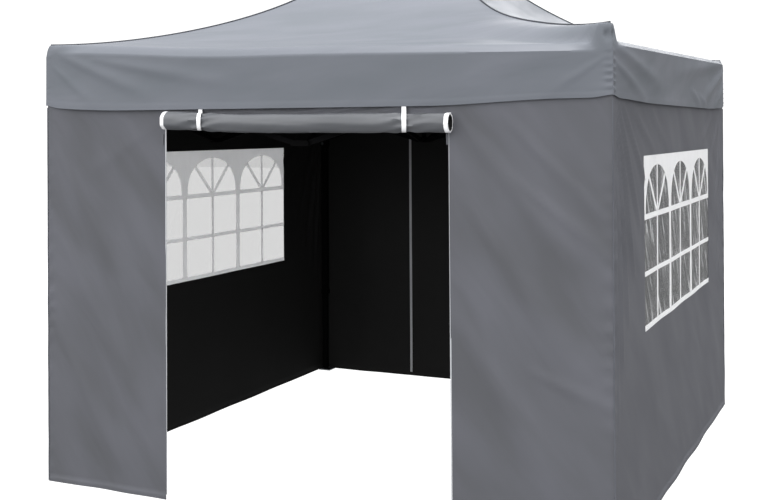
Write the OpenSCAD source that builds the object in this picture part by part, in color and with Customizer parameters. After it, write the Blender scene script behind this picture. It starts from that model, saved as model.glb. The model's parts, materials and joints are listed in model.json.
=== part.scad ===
// Pop-up gazebo: a square scissor frame with telescopic legs, a peaked canopy and four hanging walls.
// The origin is on the ground in the middle of the gazebo, +Z is up, and the doorway faces -Y.

/* [Cover] */
// Width and depth over the valances
cover_w = 3000; // [2600:10:3400]
// Height of the canopy's peak
peak_h = 3230; // [3230:5:3400]
// Height of the canopy at its four corners
corner_h = 2257; // [2240:1:2265]
// How far the eaves sag between two corners
eave_sag = 78; // [20:1:90]
// Height of the valance's lower edge
valance_bottom = 1945; // [1850:1:2000]
// Half width of the flat crown over the mast
crown_half = 30; // [28:1:45]
// Thickness of the coated cloth, drawn thick enough to be a solid
cloth_t = 2; // [1.5:0.1:3]
// How far the walls reach up behind the valance
wall_overlap = 165; // [80:1:170]
// Depth of the walls' folds
wall_fold = 7; // [2:0.5:9]

/* [Doors and windows] */
// Width of the doorway between its zips
door_w = 1540; // [1200:10:1800]
// How far the doorway's head lies below the valance
door_drop = 28; // [10:1:60]
// Width of a zip's tape
tape_w = 16; // [10:1:24]
// Height of the rolled-up door
roll_h = 98; // [70:1:120]
// Depth of the rolled-up door
roll_t = 46; // [30:1:50]
// How far the roll reaches past each side of the doorway
roll_over = 12; // [0:1:40]
// How far each tie lies from the middle of the roll
tie_out = 550; // [350:5:650]
// Width of a tie
tie_w = 22; // [12:1:40]
// Width of a window
window_w = 1800; // [1400:10:2200]
// Height of a window's lower edge
window_bottom = 880; // [700:5:1000]
// Height of a window's pane
window_h = 810; // [600:5:900]
// Thickness of a window's pane
pane_t = 1; // [0.5:0.1:1.5]

/* [Frame] */
// Width of an outer leg's square tube
leg_w = 40; // [36:1:42]
// Wall of the leg tubes
leg_wall = 1.2; // [1:0.1:2]
// Room for the walls' folds outside the legs
leg_room = 13.7; // [13:0.1:20]
// Height of an outer leg's lower end
leg_bottom = 600; // [560:5:640]
// Width of an inner leg's square tube
inner_w = 33; // [28:0.5:33]
// Length of an inner leg
inner_l = 900; // [800:5:1000]
// Width of a truss bar
bar_w = 25; // [20:1:26]
// Thickness of a truss bar
bar_t = 12; // [10:0.5:14]
// Wall of a truss bar
bar_wall = 1; // [0.8:0.1:1.5]
// Slope of the truss bars with the gazebo open
open_angle = 16.5; // [15:0.1:17]
// How far the upper pivots lie below the canopy's corners
pivot_drop = 92; // [85:1:150]
// Diameter of a pivot pin
pin_d = 6; // [5:0.5:8]
// Diameter of a mast tube
mast_d = 26; // [22:0.5:28]
// Side of a foot plate
foot_w = 90; // [80:1:110]
// Thickness of a foot plate
foot_t = 6; // [4:0.5:10]
// Diameter of a stake hole
stake_d = 12; // [8:0.5:14]

/* [Fits] */
// Gap between soft pieces and what they lie on
seat = 0.3; // [0.2:0.05:0.5]
// Radial clearance of a pin, a plug or a sliding fit
fit = 0.2; // [0.1:0.05:0.3]

/* [Hidden] */
$fn = 48;
SIDES = ["front", "right", "back", "left"];
CORNERS = ["front_left", "front_right", "back_right", "back_left"];
HALVES = ["left", "right"];

// Places that several pieces share
cover_half = cover_w / 2;
wall_out = cover_half - cloth_t - seat;
wall_in = wall_out - cloth_t;
leg_c = wall_in - leg_room - leg_w / 2;
door_half = door_w / 2;
door_head = valance_bottom - door_drop;
window_half = window_w / 2;
wall_top = valance_bottom + wall_overlap;

// Pivots of the scissor frame
plane_gap = 1;
plane = (plane_gap + bar_t) / 2;
corner_reach = leg_w / 2 + bar_w;
mid_reach = bar_w + 10;
hub_reach = mast_d / 2 + bar_w + 2;
cross_reach = corner_reach + mid_reach - hub_reach;
run = leg_c - corner_reach - mid_reach;
bar_l = run / cos(open_angle);
rise = run * tan(open_angle);
upper_z = corner_h - pivot_drop;
lower_z = upper_z - rise;
eye_reach = bar_w;
tenon_l = 40;
head_d = pin_d + 6;
head_t = 2;
head_gap = 0.5;
joint_h = bar_w + 3;
lug_t = bar_t - 1;

// Legs, sliders and their latches
bracket_wall = 4;
bracket_below = 40;
cap_dip = 6.5;
collar_h = 60;
slider_wall = 5.6;
slider_fit = 0.4;
slider_below = 60;
slider_above = 26;
latch_drop = 42;
latch_d = 8;
latch_boss_d = 18;
latch_boss_l = 14;
latch_knob_d = 22;
latch_knob_l = 9;
bush_h = 50;
button_d = 9;
button_up = 50;
hole_pitch = 60;
hole_count = 3;

// Mast and hubs
mast_wall = 1.5;
hub_wall = 5;
hub_h = 30;
cap_d = 2 * crown_half - 16;
cap_h = 18;

// Zips
zip_rise = 25;
pull_body = [10, 5, 16];
pull_tab = [8, 2, 34];
front_pull_drop = 35;
back_pull_h = 70;

// Grid steps of the cloth
side_steps = 12;
roof_rows = 9;
valance_rows = 2;
edge_steps = 5;
door_steps = 8;
low_rows = 9;
head_rows = 3;
mid_rings = 5;
end_rings = 3;
roll_sides = 16;

// Share of the square term in the ridges' hollow curve; the rest rises steeply at the mast
ridge_bow = 0.705;
ridge_power = 8;

CLOTH = "#85888f";
TUBE = "#1f2124";
STEEL = "#7b8087";
NYLON = "#17181a";
CLEAR = "#d6dade";

// Height of a ridge over the corners, as a share of the whole rise, at a share t of the way to the peak
function ridge(t) = ridge_bow * pow(t, 2) + (1 - ridge_bow) * pow(t, ridge_power);

// A point on the edge of the unit square, counted round from the front left corner
function square_point(j) =
    let (k = floor(j / side_steps), a = 2 * (j % side_steps) / side_steps - 1)
    k == 0 ? [a, -1] : k == 1 ? [1, a] : k == 2 ? [-a, 1] : [-1, -a];

// Height of the roof at a share s of the way out and a place q on the unit square
function roof_z(s, q) =
    let (u = min(abs(q[0]), abs(q[1])), c = crown_half / cover_half)
    corner_h + (peak_h - corner_h) * ridge((1 - s) / (1 - c)) - eave_sag * pow(s, 1.5) * (1 - u * u);

// One point of the canopy in row i and column j, lowered and drawn in by t
function canopy_point(i, j, t) =
    let (
        q = square_point(j),
        c = crown_half / cover_half,
        s = i > roof_rows ? 1 : c + (1 - c) * i / roof_rows,
        eave = roof_z(1, q),
        down = i > roof_rows ? (i - roof_rows) / valance_rows : 0,
        z = i > roof_rows ? eave + (valance_bottom - eave) * down : roof_z(s, q) - t,
        w = (cover_half - t) * s
    )
    [w * q[0], w * q[1], z];

// The canopy is one sheet: four roof panels and the valance, with an inner face cloth_t behind the outer
module canopy() {
    n = 4 * side_steps;
    rows = roof_rows + valance_rows;
    outer = [for (i = [0:rows], j = [0:n - 1]) canopy_point(i, j, 0)];
    inner = [for (i = [0:rows], j = [0:n - 1]) canopy_point(i, j, cloth_t)];
    m = len(outer);
    tops = [[0, 0, peak_h], [0, 0, peak_h - cloth_t]];
    faces = [
        for (j = [0:n - 1]) let (e = (j + 1) % n) each concat(
            [[2 * m, e, j], [2 * m + 1, m + j, m + e]],
            [for (i = [0:rows - 1]) let (a = i * n + j, b = i * n + e) each [
                [a, b, b + n], [a, b + n, a + n],
                [m + a, m + b + n, m + b], [m + a, m + a + n, m + b + n]
            ]],
            let (a = rows * n + j, b = rows * n + e) [[a, b, m + b], [a, m + b, m + a]]
        )
    ];
    color(CLOTH) polyhedron(points = concat(outer, inner, tops), faces = faces, convexity = 6);
}

// Turns one side's frame, drawn at the front, to its own side
module at_side(k) rotate([0, 0, 90 * k]) children();

// Even steps from a to b, without b
function steps(a, b, n) = [for (i = [0:n - 1]) a + (b - a) * i / n];

// A hanging sheet over the grid xs by zs, its outer face back(x, z) behind the face plane.
// Cells for which hole(x, z) is true at their middle are left open.
module sheet(xs, zs, face, t, back, hole) {
    nx = len(xs) - 1;
    nz = len(zs) - 1;
    outer = [for (x = xs, z = zs) [x, back(x, z) - face, z]];
    inner = [for (p = outer) p + [0, t, 0]];
    m = len(outer);
    kept = function(i, k) i >= 0 && i < nx && k >= 0 && k < nz
        && !hole((xs[i] + xs[i + 1]) / 2, (zs[k] + zs[k + 1]) / 2);
    at = function(i, k) i * (nz + 1) + k;
    faces = [
        for (i = [0:nx - 1], k = [0:nz - 1]) if (kept(i, k)) let (
            tl = at(i, k + 1),
            tr = at(i + 1, k + 1),
            br = at(i + 1, k),
            bl = at(i, k),
            rims = [
                if (!kept(i, k + 1)) [tl, tr],
                if (!kept(i + 1, k)) [tr, br],
                if (!kept(i, k - 1)) [br, bl],
                if (!kept(i - 1, k)) [bl, tl]
            ]
        ) each concat(
            [[tl, tr, br], [tl, br, bl], [m + tl, m + br, m + tr], [m + tl, m + bl, m + br]],
            [for (e = rims) each [[e[1], e[0], m + e[0]], [e[1], m + e[0], m + e[1]]]]
        )
    ];
    polyhedron(points = concat(outer, inner), faces = faces, convexity = 8);
}

// Folds hang from the valance and grow towards the hem; they fade out at a taut edge at a and at b
function hang(z) = z > valance_bottom ? 0 : sin(90 * (1 - z / valance_bottom));
function fade(x, a, b) = max(0, sin(180 * (x - a) / (b - a)));
function ripple(x, z, pitch, lean) = (1 + sin(360 * x / pitch + lean * z)) / 2;
function fold(x, z, a, b, pitch) =
    wall_fold * hang(z) * fade(x, a, b) * ripple(x, z, pitch, 0.06);

door_fold = 510;
strip_fold = 360;
side_fold = 620;
zip_in = door_half - tape_w;
front_end = wall_in - seat;

// A door wall is taut at its corners and its zips
function door_wall_back(x, z) =
    abs(x) >= door_half ? fold(abs(x), z, door_half, front_end, strip_fold)
    : abs(x) <= zip_in ? fold(x, z, -zip_in, zip_in, door_fold) : 0;
function side_wall_back(x, z) = fold(x, z, -wall_out, wall_out, side_fold);

head_zs = concat(steps(door_head, wall_top, head_rows), [wall_top]);
door_rows = concat(steps(0, door_head, low_rows), head_zs);
strip_top = door_head - seat;
strip_zs = concat(steps(0, strip_top, low_rows), [strip_top]);
strip_xs = steps(door_half, front_end, edge_steps);
far_strip = concat(strip_xs, [front_end]);
near_strip = [for (i = [len(far_strip) - 1:-1:0]) -far_strip[i]];
panel_xs = concat(steps(-zip_in, zip_in, door_steps), [zip_in]);

// A zip's tape, taut from just over the hem to the doorway's head
module zip_tape(side) {
    w = tape_w - 2 * seat;
    translate([side * (door_half - tape_w / 2) - w / 2, -wall_out, zip_rise])
        cube([w, cloth_t, door_head - seat - zip_rise]);
}

// Front wall: two strips sewn under the head over the doorway, with a zip tape on each strip's edge
module front_wall() {
    color(CLOTH) {
        for (xs = [near_strip, far_strip]) sheet(
            xs, strip_zs, wall_out, cloth_t,
            function(x, z) door_wall_back(x, z),
            function(x, z) false
        );
        sheet(
            concat(near_strip, panel_xs, far_strip), head_zs, wall_out, cloth_t,
            function(x, z) abs(x) < door_half ? 0 : door_wall_back(x, z),
            function(x, z) false
        );
    }
    color("white") for (s = [-1, 1]) zip_tape(s);
}

// Back wall: the same cut with its door let down and both zips closed
module back_wall() {
    at_side(2) {
        color(CLOTH) sheet(
            concat(near_strip, panel_xs, far_strip), door_rows, wall_out, cloth_t,
            function(x, z) door_wall_back(x, z),
            function(x, z) abs(x) < door_half && abs(x) > zip_in && z < door_head
        );
        color("white") for (s = [-1, 1]) zip_tape(s);
    }
}

window_rows = concat(
    steps(0, window_bottom, edge_steps),
    steps(window_bottom, window_bottom + window_h, edge_steps),
    steps(window_bottom + window_h, wall_top, head_rows),
    [wall_top]
);
window_xs = concat(
    steps(-wall_out, -window_half, edge_steps),
    steps(-window_half, window_half, door_steps),
    steps(window_half, wall_out, edge_steps),
    [wall_out]
);

// A side wall with the opening for its window
module window_wall(k) {
    color(CLOTH) at_side(k) sheet(
        window_xs, window_rows, wall_out, cloth_t,
        function(x, z) side_wall_back(x, z),
        function(x, z) abs(x) < window_half && z > window_bottom && z < window_bottom + window_h
    );
}

// A window's clear pane, welded into its opening
module window(k) {
    w = window_half - seat;
    low = window_bottom + seat;
    high = window_bottom + window_h - seat;
    color(CLEAR, 0.5) at_side(k) sheet(
        concat(steps(-w, w, door_steps), [w]),
        concat(steps(low, high, edge_steps), [high]),
        wall_out - (cloth_t - pane_t) / 2, pane_t,
        function(x, z) side_wall_back(x, z),
        function(x, z) false
    );
}

// The roll is drawn in under its two ties and swells between them
roll_half = door_half + roll_over;
roll_pinch = 0.16;
roll_z = door_head - roll_h / 2 - seat;
roll_y = -wall_out - roll_t / 2 - seat;
tie_t = 1.5;
function pinched(x) = 1 - roll_pinch * exp(-pow(max(0, abs(abs(x) - tie_out) / tie_w - 0.5), 2));
function roll_point(x, a, grow) =
    let (p = pinched(x))
    [x, roll_y + (p * roll_t / 2 + grow) * cos(a), roll_z + (p * roll_h / 2 + grow) * sin(a)];

// Rings of the roll's right half, close together on both sides of the tie
roll_xs = concat(
    steps(0, tie_out - 3 * tie_w, mid_rings),
    [for (d = [-3, -2, -1, -0.5, 0.5, 1, 2]) tie_out + d * tie_w],
    steps(tie_out + 3 * tie_w, roll_half, end_rings),
    [roll_half]
);

module roll_body() {
    xs = concat([for (i = [len(roll_xs) - 1:-1:1]) -roll_xs[i]], roll_xs);
    n = roll_sides;
    last = len(xs) - 1;
    points = [for (x = xs, j = [0:n - 1]) roll_point(x, 360 * j / n, 0)];
    faces = [
        for (j = [0:n - 1]) let (e = (j + 1) % n) each concat(
            [for (i = [0:last - 1]) each [
                [i * n + j, (i + 1) * n + j, (i + 1) * n + e],
                [i * n + j, (i + 1) * n + e, i * n + e]
            ]],
            j > 0 && j < n - 1
                ? [[0, j, j + 1], [last * n, last * n + j + 1, last * n + j]]
                : []
        )
    ];
    polyhedron(points = points, faces = faces, convexity = 4);
}

// A tie is a strap round the roll at its waist
module tie(x) {
    n = 2 * roll_sides;
    ring = function(grow) [
        for (j = [0:n - 1]) let (p = roll_point(tie_out, 360 * j / n, grow)) [p[1], p[2]]
    ];
    translate([x - tie_w / 2, 0, 0]) rotate([90, 0, 90]) linear_extrude(tie_w) difference() {
        polygon(ring(seat + tie_t));
        polygon(ring(seat));
    }
}

// The rolled-up door with its two ties
module door_roll() {
    color(CLOTH) roll_body();
    color("white") for (s = [-1, 1]) tie(s * tie_out);
}

// One truss bar along +X from its first pivot: a steel tube with a nylon eye in each end
module truss_bar() {
    color(TUBE) difference() {
        translate([eye_reach, -bar_t / 2, -bar_w / 2]) cube([bar_l - 2 * eye_reach, bar_t, bar_w]);
        translate([0, -bar_t / 2 + bar_wall, -bar_w / 2 + bar_wall])
            cube([bar_l, bar_t - 2 * bar_wall, bar_w - 2 * bar_wall]);
        translate([bar_l / 2, 0, 0]) pivot_hole();
    }
    color(NYLON) {
        bar_eye();
        translate([bar_l, 0, 0]) mirror([1, 0, 0]) bar_eye();
    }
}

module pivot_hole() {
    rotate([90, 0, 0]) cylinder(d = pin_d + 2 * fit, h = 3 * bar_t, center = true);
}

module bar_eye() {
    inset = bar_wall + fit;
    difference() {
        union() {
            rotate([90, 0, 0]) cylinder(d = bar_w, h = bar_t, center = true);
            translate([0, -bar_t / 2, -bar_w / 2]) cube([eye_reach - fit, bar_t, bar_w]);
            translate([0, -bar_t / 2 + inset, -bar_w / 2 + inset])
                cube([eye_reach + tenon_l, bar_t - 2 * inset, bar_w - 2 * inset]);
        }
        pivot_hole();
    }
}

// A pin along -Y through the bar in the next plane, from its root in a lug to its head
module pivot_pin() {
    root = plane_gap + 1;
    grip = plane_gap / 2 + bar_t + head_gap;
    translate([0, root, 0]) rotate([90, 0, 0]) cylinder(d = pin_d, h = root + grip + head_t);
    translate([0, -grip, 0]) rotate([90, 0, 0]) cylinder(d = head_d, h = head_t);
}

// The rivet at the middle of a crossing, through both bars, in the frame of the bar on its +Y side
module middle_rivet() {
    near = bar_t / 2 + fit;
    far = -3 * bar_t / 2 - plane_gap - fit;
    color(STEEL) translate([bar_l / 2, 0, 0]) rotate([90, 0, 0]) {
        translate([0, 0, -near - head_t]) cylinder(d = pin_d, h = near - far + 2 * head_t);
        translate([0, 0, -near - head_t]) cylinder(d = head_d, h = head_t);
        translate([0, 0, -far]) cylinder(d = head_d, h = head_t);
    }
}

// Side k, half h (-1 left, 1 right, seen from outside): the bar from the upper joint down to the slider
module slider_bar(k, h) {
    at_side(k) mirror([h > 0 ? 1 : 0, 0, 0])
        translate([-mid_reach, -leg_c - plane, upper_z]) rotate([0, 180 - open_angle, 0]) truss_bar();
}

// The bar from the top of the leg down to the lower joint, with the rivet of the crossing
module top_bar(k, h) {
    at_side(k) mirror([h > 0 ? 1 : 0, 0, 0])
        translate([corner_reach - leg_c, plane - leg_c, upper_z]) rotate([0, open_angle, 0]) {
            truss_bar();
            middle_rivet();
        }
}

// The cross bar from the upper hub down to a side's lower joint, with the rivet of the crossing
module cross_top_bar(k) {
    at_side(k) translate([plane, -hub_reach, upper_z]) rotate([0, 0, -90]) rotate([0, open_angle, 0]) {
        truss_bar();
        middle_rivet();
    }
}

// The cross bar from the mast's lower hub up to a side's upper joint
module cross_low_bar(k) {
    at_side(k) translate([-plane, -hub_reach, lower_z]) rotate([0, 0, -90]) rotate([0, -open_angle, 0])
        truss_bar();
}

// A lug with its pin, along +X from x = start to the pivot at x = reach: the lug lies in the inner
// plane and its pin points outwards, along -Y
module pin_lug(start, reach) {
    translate([start, plane_gap, -joint_h / 2]) cube([reach - start, lug_t, joint_h]);
    translate([reach, plane_gap + lug_t, 0]) rotate([90, 0, 0]) cylinder(d = joint_h, h = lug_t);
    translate([reach, 0, 0]) pivot_pin();
}

// The two lugs of a side's joint, for the bars to its left and right
module side_lugs() {
    for (s = [0, 1]) mirror([s, 0, 0]) pin_lug(0, mid_reach);
}

// The lug that reaches inwards to a cross bar, on the +X side with its pin towards -X
module cross_lug() {
    rotate([0, 0, 90]) mirror([0, 1, 0]) pin_lug(-plane_gap - lug_t, cross_reach);
}

// Upper joint in the middle of a side: it carries two slider bars and a cross bar
module upper_joint(k) {
    color(NYLON) at_side(k) translate([0, -leg_c, upper_z]) {
        side_lugs();
        cross_lug();
    }
}

// Lower joint in the middle of a side: it carries two top bars and a cross bar
module lower_joint(k) {
    color(NYLON) at_side(k) translate([0, -leg_c, lower_z]) {
        mirror([0, 1, 0]) side_lugs();
        mirror([1, 0, 0]) cross_lug();
    }
}

// The square sleeve round a leg, from z0 to z1
module sleeve(inner, outer, z0, z1) {
    difference() {
        translate([-outer / 2, -outer / 2, z0]) cube([outer, outer, z1 - z0]);
        translate([-inner / 2, -inner / 2, z0 - 1]) cube([inner, inner, z1 - z0 + 2]);
    }
}

module at_corner(c) rotate([0, 0, 90 * c]) translate([-leg_c, -leg_c, 0]) children();

// Both inner faces of a corner: the face towards +X and the one towards +Y
module both_faces() {
    children();
    mirror([1, -1, 0]) children();
}

leg_top = corner_h - cap_dip - bracket_wall;
bracket_w = leg_w + 2 * bracket_wall;

// The bracket's ear lies in the outer plane and carries a top bar's eye in the inner one
module top_ear() {
    translate([0, 0, upper_z]) mirror([0, 1, 0]) pin_lug(bracket_w / 2 - 1, corner_reach);
}

// Outer leg: a steel tube with height holes, a nylon top bracket with its two pins, and a collar below
module leg(c) {
    at_corner(c) {
        color(TUBE) difference() {
            sleeve(leg_w - 2 * leg_wall, leg_w, leg_bottom, leg_top - fit);
            for (i = [0:hole_count - 1]) translate([0, 0, leg_bottom + button_up + i * hole_pitch])
                rotate([0, 90, 0]) cylinder(d = button_d + 1, h = leg_w);
            translate([0, 0, lower_z - latch_drop]) rotate([0, 90, 0]) cylinder(d = latch_d + 1, h = leg_w);
        }
        color(NYLON) {
            sleeve(leg_w + 2 * fit, bracket_w, upper_z - bracket_below, leg_top);
            translate([-bracket_w / 2, -bracket_w / 2, leg_top]) cube([bracket_w, bracket_w, bracket_wall]);
            both_faces() top_ear();
            sleeve(inner_w + 2 * fit, bracket_w, leg_bottom - collar_h / 2, leg_bottom - fit);
        }
    }
}

slider_in = leg_w + 2 * slider_fit;
slider_w = slider_in + 2 * slider_wall;

// Slider: a nylon collar on the leg with two ears for the slider bars and a boss for its latch
module slider(c) {
    at_corner(c) translate([0, 0, lower_z]) color(NYLON) {
        difference() {
            union() {
                sleeve(slider_in, slider_w, -slider_below, slider_above);
                translate([slider_w / 2 - 1, 0, -latch_drop]) rotate([0, 90, 0])
                    cylinder(d = latch_boss_d, h = latch_boss_l + 1);
            }
            translate([0, 0, -latch_drop]) rotate([0, 90, 0])
                cylinder(d = latch_d + 2 * fit, h = slider_w);
        }
        both_faces() pin_lug(slider_w / 2 - 1, corner_reach);
    }
}

// Latch: a plunger that is pulled out of the slider's boss by its knob; its tip stops at the leg's face
module latch(c) {
    tip = slider_in / 2 + fit;
    knob = slider_w / 2 + latch_boss_l + fit;
    color(STEEL) at_corner(c) translate([0, 0, lower_z - latch_drop]) rotate([0, 90, 0]) {
        translate([0, 0, tip]) cylinder(d = latch_d, h = knob - tip);
        translate([0, 0, knob]) cylinder(d = latch_knob_d, h = latch_knob_l);
    }
}

// Inner leg: a steel tube with a nylon bush on top, a snap button and a foot plate with stake holes
module inner_leg(c) {
    bush_w = leg_w - 2 * leg_wall - 2 * fit;
    at_corner(c) {
        color(TUBE) difference() {
            sleeve(inner_w - 2 * leg_wall, inner_w, foot_t + fit, inner_l);
            translate([0, 0, leg_bottom + button_up]) rotate([0, 90, 0])
                cylinder(d = button_d + 2 * fit, h = inner_w);
        }
        color(NYLON) sleeve(inner_w + 2 * fit, bush_w, inner_l - bush_h, inner_l);
        color(STEEL) translate([inner_w / 2 - 2 * leg_wall, 0, leg_bottom + button_up])
            rotate([0, 90, 0]) cylinder(d = button_d, h = bush_w / 2 - inner_w / 2 + 2 * leg_wall);
        color(STEEL) foot();
    }
}

module foot() {
    plug_w = inner_w - 2 * leg_wall - 2 * fit;
    stake_in = foot_w - leg_w / 2 - stake_d - 4;
    difference() {
        translate([-leg_w / 2, -leg_w / 2, 0]) cube([foot_w, foot_w, foot_t]);
        both_faces() translate([stake_in, 0, -1]) cylinder(d = stake_d, h = foot_t + 2);
    }
    translate([-plug_w / 2, -plug_w / 2, foot_t - 0.5]) cube([plug_w, plug_w, tenon_l]);
}

// A hub: a ring round the mast with four lugs, whose pins lie in the plane next to them
module hub(bore, turn) {
    ring_d = mast_d + 2 * fit + 2 * hub_wall;
    difference() {
        union() {
            translate([0, 0, -hub_h / 2]) cylinder(d = ring_d, h = hub_h);
            for (k = [0:3]) at_side(k) mirror([turn, 0, 0]) rotate([0, 0, -90]) mirror([0, 1, 0])
                pin_lug(0, hub_reach);
        }
        translate([0, 0, -hub_h]) cylinder(d = bore, h = 2 * hub_h);
    }
}

// Upper hub, which the mast slides through
module upper_hub() {
    color(NYLON) translate([0, 0, upper_z]) hub(mast_d + 4 * fit, 0);
}

// Mast: a steel tube in its lower hub, with a round cap that holds up the canopy's crown
module mast() {
    cap_top = peak_h - cloth_t - seat;
    tube_top = cap_top - cap_h;
    color(TUBE) translate([0, 0, lower_z - hub_h / 2]) difference() {
        cylinder(d = mast_d, h = tube_top - lower_z + hub_h / 2);
        translate([0, 0, -1]) cylinder(d = mast_d - 2 * mast_wall, h = tube_top);
    }
    color(NYLON) translate([0, 0, lower_z]) hub(mast_d + 2 * fit, 1);
    color(NYLON) {
        translate([0, 0, tube_top + fit]) cylinder(d1 = mast_d + 2, d2 = cap_d, h = cap_h - fit);
        translate([0, 0, tube_top - tenon_l])
            cylinder(d = mast_d - 2 * mast_wall - 2 * fit, h = tenon_l + cap_h / 2);
    }
}

// A zip's slider with its hanging tab, on the outside of the tape
module zip_pull(side, z) {
    x = side * (door_half - tape_w / 2);
    body_y = -wall_out - seat - pull_body[1];
    color("white") {
        translate([x - pull_body[0] / 2, body_y, z]) cube(pull_body);
        translate([x - pull_tab[0] / 2, body_y, z - pull_tab[2]]) cube(pull_tab + [0, 0, 2]);
    }
}

module front_zip_pulls() {
    for (s = [-1, 1]) zip_pull(s, roll_z - roll_h / 2 - front_pull_drop);
}

module back_zip_pulls() {
    at_side(2) for (s = [-1, 1]) zip_pull(s, back_pull_h);
}

function half_sign(h) = h == "left" ? -1 : 1;

canopy();
front_wall();
door_roll();
window_wall(1);  // right_wall
back_wall();
window_wall(3);  // left_wall
window(1);  // right_window
window(3);  // left_window
upper_hub();
mast();
for (k = [0:3]) {
    cross_top_bar(k);
    cross_low_bar(k);
    upper_joint(k);
    lower_joint(k);
    for (h = HALVES) {
        slider_bar(k, half_sign(h));
        top_bar(k, half_sign(h));
    }
    leg(k);
    slider(k);
    inner_leg(k);
    latch(k);
}
front_zip_pulls();
back_zip_pulls();
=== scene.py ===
import json
import math

import bpy
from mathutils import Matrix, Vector
from mathutils.noise import noise

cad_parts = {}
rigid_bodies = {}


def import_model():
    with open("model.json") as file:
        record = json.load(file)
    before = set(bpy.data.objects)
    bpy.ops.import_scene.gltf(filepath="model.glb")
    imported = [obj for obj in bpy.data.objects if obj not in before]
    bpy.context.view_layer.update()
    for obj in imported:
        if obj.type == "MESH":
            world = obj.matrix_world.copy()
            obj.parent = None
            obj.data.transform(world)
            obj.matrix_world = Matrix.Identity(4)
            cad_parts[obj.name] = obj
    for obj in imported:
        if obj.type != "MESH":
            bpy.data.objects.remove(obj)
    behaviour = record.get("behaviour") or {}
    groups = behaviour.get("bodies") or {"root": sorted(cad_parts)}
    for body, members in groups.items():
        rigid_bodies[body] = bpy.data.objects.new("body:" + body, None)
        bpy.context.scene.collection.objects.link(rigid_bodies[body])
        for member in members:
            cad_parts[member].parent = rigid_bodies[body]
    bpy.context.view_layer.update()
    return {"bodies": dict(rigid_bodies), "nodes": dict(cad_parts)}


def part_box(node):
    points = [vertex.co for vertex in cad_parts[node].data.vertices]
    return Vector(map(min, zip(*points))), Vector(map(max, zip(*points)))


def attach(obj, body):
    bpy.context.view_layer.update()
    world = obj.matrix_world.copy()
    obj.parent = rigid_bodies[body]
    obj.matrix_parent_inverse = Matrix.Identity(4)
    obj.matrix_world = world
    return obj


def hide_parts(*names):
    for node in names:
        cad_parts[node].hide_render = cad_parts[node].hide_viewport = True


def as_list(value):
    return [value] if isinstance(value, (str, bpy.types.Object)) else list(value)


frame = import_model()


# Frame tubes
# The legs and truss bars are rolled steel tube, cut, punched and powder coated satin black. The coat
# is baked on and leaves a faint orange peel that softens the highlights along the edges.
def linear(code):
    """An sRGB hex colour such as "#85888f" as linear red, green, blue and alpha."""
    shares = [int(code[i:i + 2], 16) / 255 for i in (1, 3, 5)]
    return [c / 12.92 if c <= 0.04045 else ((c + 0.055) / 1.055) ** 2.4 for c in shares] + [1.0]


def add_node(tree, kind, inputs=None, **settings):
    """Adds a shader node; each input is a value for its socket or a socket to link from."""
    made = tree.nodes.new("ShaderNode" + kind)
    for name, value in settings.items():
        setattr(made, name, value)
    for name, value in (inputs or {}).items():
        if isinstance(value, bpy.types.NodeSocket):
            tree.links.new(value, made.inputs[name])
        else:
            made.inputs[name].default_value = value
    return made


def new_material(name):
    """An empty material and its node tree, with only the output left in it."""
    made = bpy.data.materials.new(name)
    made.use_nodes = True
    tree = made.node_tree
    for found in list(tree.nodes):
        if found.type != "OUTPUT_MATERIAL":
            tree.nodes.remove(found)
    return made, tree


def show(tree, shader):
    """Links a shader to the material's output."""
    out = next(n for n in tree.nodes if n.type == "OUTPUT_MATERIAL")
    tree.links.new(shader.outputs[0], out.inputs["Surface"])


def blend(tree, share, first, second):
    """A colour between two hex colours, by a socket's share."""
    mixed = add_node(tree, "Mix", {0: share, 6: linear(first), 7: linear(second)}, data_type="RGBA")
    return mixed.outputs[2]


def ranged(tree, value, low, high, start=0.0, end=1.0):
    """A socket's value between start and end, brought to between low and high."""
    return add_node(tree, "MapRange", {"Value": value, "From Min": start, "From Max": end,
                                       "To Min": low, "To Max": high}).outputs[0]


def moulded(name, colour, worn_colour, roughness, metallic, grain_mm, depth, gloss=0.5):
    """A hard finish with a fine grain in its surface and a little colour change over a hand's width."""
    made, tree = new_material(name)
    place = add_node(tree, "TexCoord").outputs["Object"]
    patches = add_node(tree, "TexNoise", {"Vector": place, "Scale": 9.0, "Detail": 4.0}).outputs["Fac"]
    grain = add_node(tree, "TexNoise", {"Vector": place, "Scale": 1000 / grain_mm, "Detail": 2.0})
    bump = add_node(tree, "Bump", {"Height": grain.outputs["Fac"], "Strength": depth, "Distance": 0.001})
    show(tree, add_node(tree, "BsdfPrincipled", {
        "Base Color": blend(tree, patches, colour, worn_colour), "Metallic": metallic,
        "Roughness": ranged(tree, patches, *roughness), "Normal": bump.outputs[0],
        "Specular IOR Level": gloss,
    }))
    return made


powder_coat = moulded("powder_coated_steel", "#070708", "#0a0a0b", (0.6, 0.75), 0.0, 2.2, 0.25, 0.03)


# Joints, sliders and brackets
# Glass-filled nylon, injection moulded in spark-eroded tools, so the skin is matt and slightly pebbled.
# Each bar end, leg top, collar and bush of this nylon is sealed into or clipped onto its tube.
nylon = moulded("moulded_nylon", "#060607", "#090909", (0.7, 0.85), 0.0, 1.4, 0.35, 0.03)


# Latches, feet and rivets
# Turned or pressed steel with a bright zinc plate, dulled a little where it is handled or stood on.
zinc_plate = moulded("zinc_plated_steel", "#b9bdc2", "#8f949a", (0.25, 0.42), 1.0, 3.0, 0.15)


def finish_node(node, base, rules=()):
    """Gives a CAD node its base finish, and another where a rule holds at a face's middle."""
    thing = frame["nodes"][node]
    mesh = thing.data
    mesh.materials.clear()
    mesh.materials.append(base)
    for other, _ in rules:
        mesh.materials.append(other)
    for face in mesh.polygons:
        for number, (_, holds) in enumerate(rules):
            if holds(face.center, face.normal):
                face.material_index = number + 1
                break


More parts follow.
